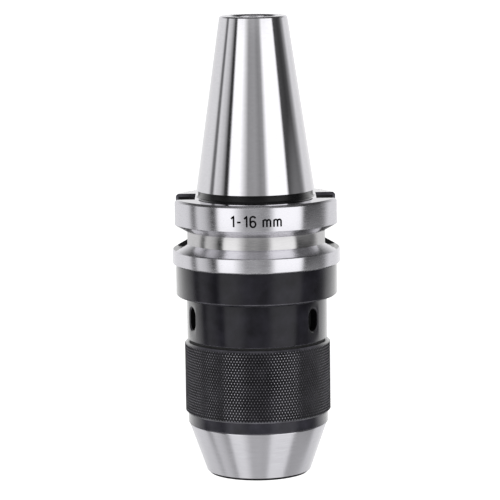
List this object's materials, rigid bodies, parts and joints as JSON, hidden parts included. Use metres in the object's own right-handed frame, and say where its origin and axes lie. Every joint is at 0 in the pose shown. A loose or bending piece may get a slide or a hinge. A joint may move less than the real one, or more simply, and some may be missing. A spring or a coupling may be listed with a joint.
{
  "type": "drill chuck",
  "caption": "Keyless self-tightening drill chuck with an integral 7/24 taper shank, V-grooved flange, knurled sleeve and conical nose with sliding jaws.",
  "frame": {"origin": "centre of the taper's gauge plane, on the axis", "axes": "+Z along the axis towards the small end of the taper, +X through one drive slot"},
  "size_m": [0.063, 0.063, 0.1723],
  "materials": {
    "ground_steel": "ground",
    "black_steel": "black oxide",
    "bearing_steel": "polished",
    "hardened_steel": "hardened and ground",
    "cage_brass": "machined",
    "nut_bronze": "machined",
    "screw_black": "black oxide",
    "seal_rubber": "matt",
    "turned_steel": "fine turned"
  },
  "bodies": {
    "shank": {"taper_shank": "ground_steel", "screw_nut": "nut_bronze", "nut_lock_pin": "hardened_steel", "dust_seal_ring": "seal_rubber", "lower_race": "bearing_steel", "thrust_collar": "hardened_steel", "collar_lock_screws": "screw_black"},
    "sleeve": {"neck_housing": "black_steel", "upper_race": "bearing_steel", "seam_seal": "seal_rubber", "knurled_sleeve": "black_steel", "nose_cone": "turned_steel", "nose_seal_ring": "seal_rubber", "jaw_guide": "hardened_steel", "guide_keys": "hardened_steel"},
    "ball_cage": {"bearing_balls": "bearing_steel", "ball_cage": "cage_brass"},
    "spindle": {"spindle": "hardened_steel"},
    "jaw_1": {"jaw_1": "hardened_steel"},
    "jaw_2": {"jaw_2": "hardened_steel"},
    "jaw_3": {"jaw_3": "hardened_steel"}
  },
  "joints": [
    {"name": "sleeve_turn", "type": "hinge", "parent": "shank", "child": "sleeve", "pos_m": [0, 0, -0.07], "axis": [0, 0, 1], "range_deg": [0, 2472.7]},
    {"name": "spindle_feed", "type": "slide", "parent": "sleeve", "child": "spindle", "axis": [0, 0, -1], "range_m": [0, 0.02061]},
    {"name": "cage_turn", "type": "hinge", "parent": "shank", "child": "ball_cage", "pos_m": [0, 0, -0.047], "axis": [0, 0, 1], "range_deg": [0, 1236.45]},
    {"name": "jaw_1_slide", "type": "slide", "parent": "sleeve", "child": "jaw_1", "axis": [-0.3154, -0.1323, -0.9397], "range_m": [0, 0.02193]},
    {"name": "jaw_2_slide", "type": "slide", "parent": "sleeve", "child": "jaw_2", "axis": [0.2722, -0.207, -0.9397], "range_m": [0, 0.02193]},
    {"name": "jaw_3_slide", "type": "slide", "parent": "sleeve", "child": "jaw_3", "axis": [0.0432, 0.3393, -0.9397], "range_m": [0, 0.02193]}
  ],
  "couplings": [
    {"joint": "spindle_feed", "follows": "sleeve_turn", "m_per_rad": 0.00047746},
    {"joint": "cage_turn", "follows": "sleeve_turn", "ratio": 0.5},
    {"joint": "jaw_1_slide", "follows": "sleeve_turn", "m_per_rad": 0.00050811},
    {"joint": "jaw_2_slide", "follows": "sleeve_turn", "m_per_rad": 0.00050811},
    {"joint": "jaw_3_slide", "follows": "sleeve_turn", "m_per_rad": 0.00050811}
  ]
}
